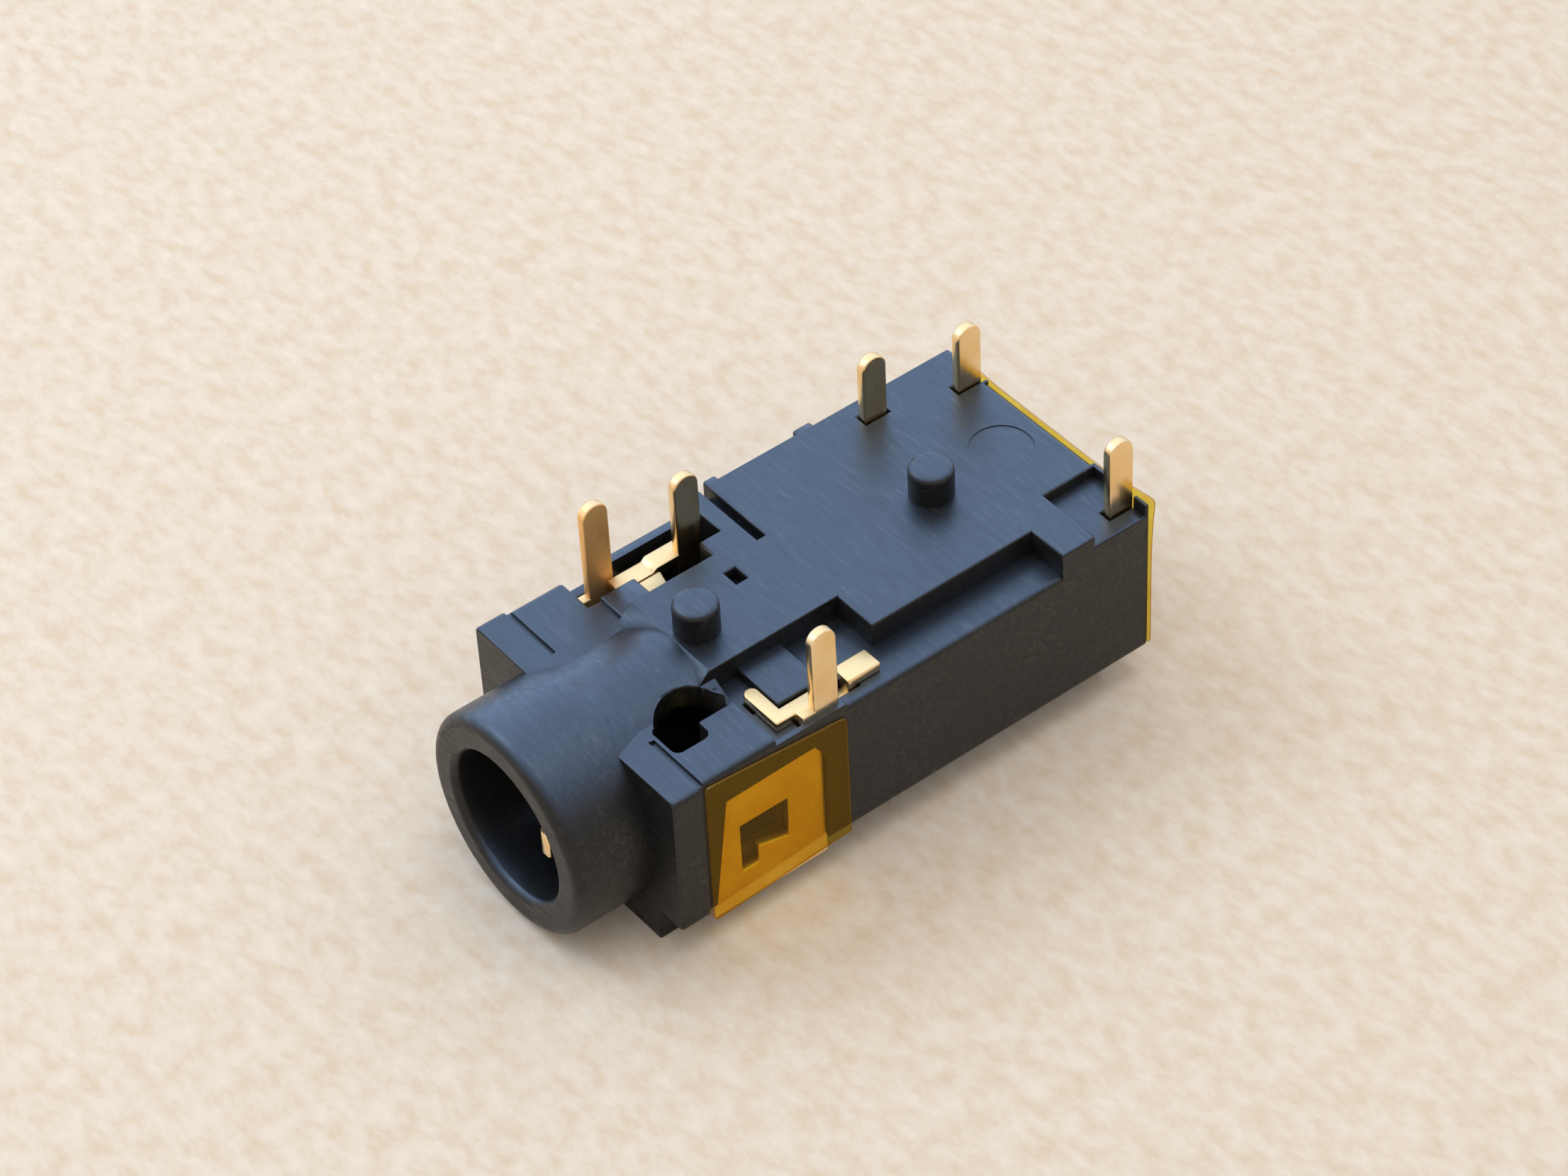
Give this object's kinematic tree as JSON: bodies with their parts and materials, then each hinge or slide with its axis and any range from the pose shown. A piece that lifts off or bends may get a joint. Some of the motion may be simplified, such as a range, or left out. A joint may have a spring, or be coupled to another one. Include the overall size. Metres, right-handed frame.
{
  "type": "audio jack socket",
  "caption": "Board-mounted audio jack socket with a round plug barrel, moulded black body, locating pegs, gold solder pins and amber film over its side and rear openings.",
  "frame": {"origin": "centre of the bounding box in plan, at the underside that the part lies on", "axes": "+Z towards the circuit board and the pin tips, +X from the barrel's mouth to the rear face, +Y to the side with four pins"},
  "size_m": [0.0154, 0.0073, 0.007],
  "materials": {
    "body_plastic": "satin black moulded plastic with fine streaks",
    "gold_plating": "gold plating on stamped strip, bright on the bends",
    "amber_film": "clear amber polyimide film"
  },
  "bodies": {
    "socket": {"housing": "body_plastic", "sleeve_terminal": "gold_plating", "ring2_terminal": "gold_plating", "ring1_terminal": "gold_plating", "tip_terminal": "gold_plating", "switch_terminal": "gold_plating", "switch_contact": "gold_plating", "side_film": "amber_film", "rear_film": "amber_film"},
    "sleeve_arm": {"sleeve_spring": "gold_plating"},
    "ring2_arm": {"ring2_spring": "gold_plating"},
    "ring1_arm": {"ring1_spring": "gold_plating"},
    "tip_arm": {"tip_spring": "gold_plating"},
    "switch_arm": {"switch_spring": "gold_plating"}
  },
  "joints": [
    {"name": "sleeve_flex", "type": "hinge", "parent": "socket", "child": "sleeve_arm", "pos_m": [-0.00481, -0.00193, 0.0027], "axis": [0, 0, 1], "range_deg": [0, 12.5], "stiffness_Nm_per_rad": 0.01},
    {"name": "ring2_flex", "type": "hinge", "parent": "socket", "child": "ring2_arm", "pos_m": [-0.00298, 0.00243, 0.0027], "axis": [0, 0, 1], "range_deg": [0, 17], "stiffness_Nm_per_rad": 0.01},
    {"name": "ring1_flex", "type": "hinge", "parent": "socket", "child": "ring1_arm", "pos_m": [-0.00017, 0.00252, 0.0027], "axis": [0, 0, 1], "range_deg": [0, 16], "stiffness_Nm_per_rad": 0.01},
    {"name": "tip_flex", "type": "hinge", "parent": "socket", "child": "tip_arm", "pos_m": [0.0059, -0.00285, 0.0027], "axis": [0, 0, 1], "range_deg": [0, 12.5], "stiffness_Nm_per_rad": 0.01},
    {"name": "switch_flex", "type": "hinge", "parent": "socket", "child": "switch_arm", "pos_m": [0.00634, 0.00225, 0.0027], "axis": [0, 0, -1], "range_deg": [0, 14], "stiffness_Nm_per_rad": 0.01}
  ]
}
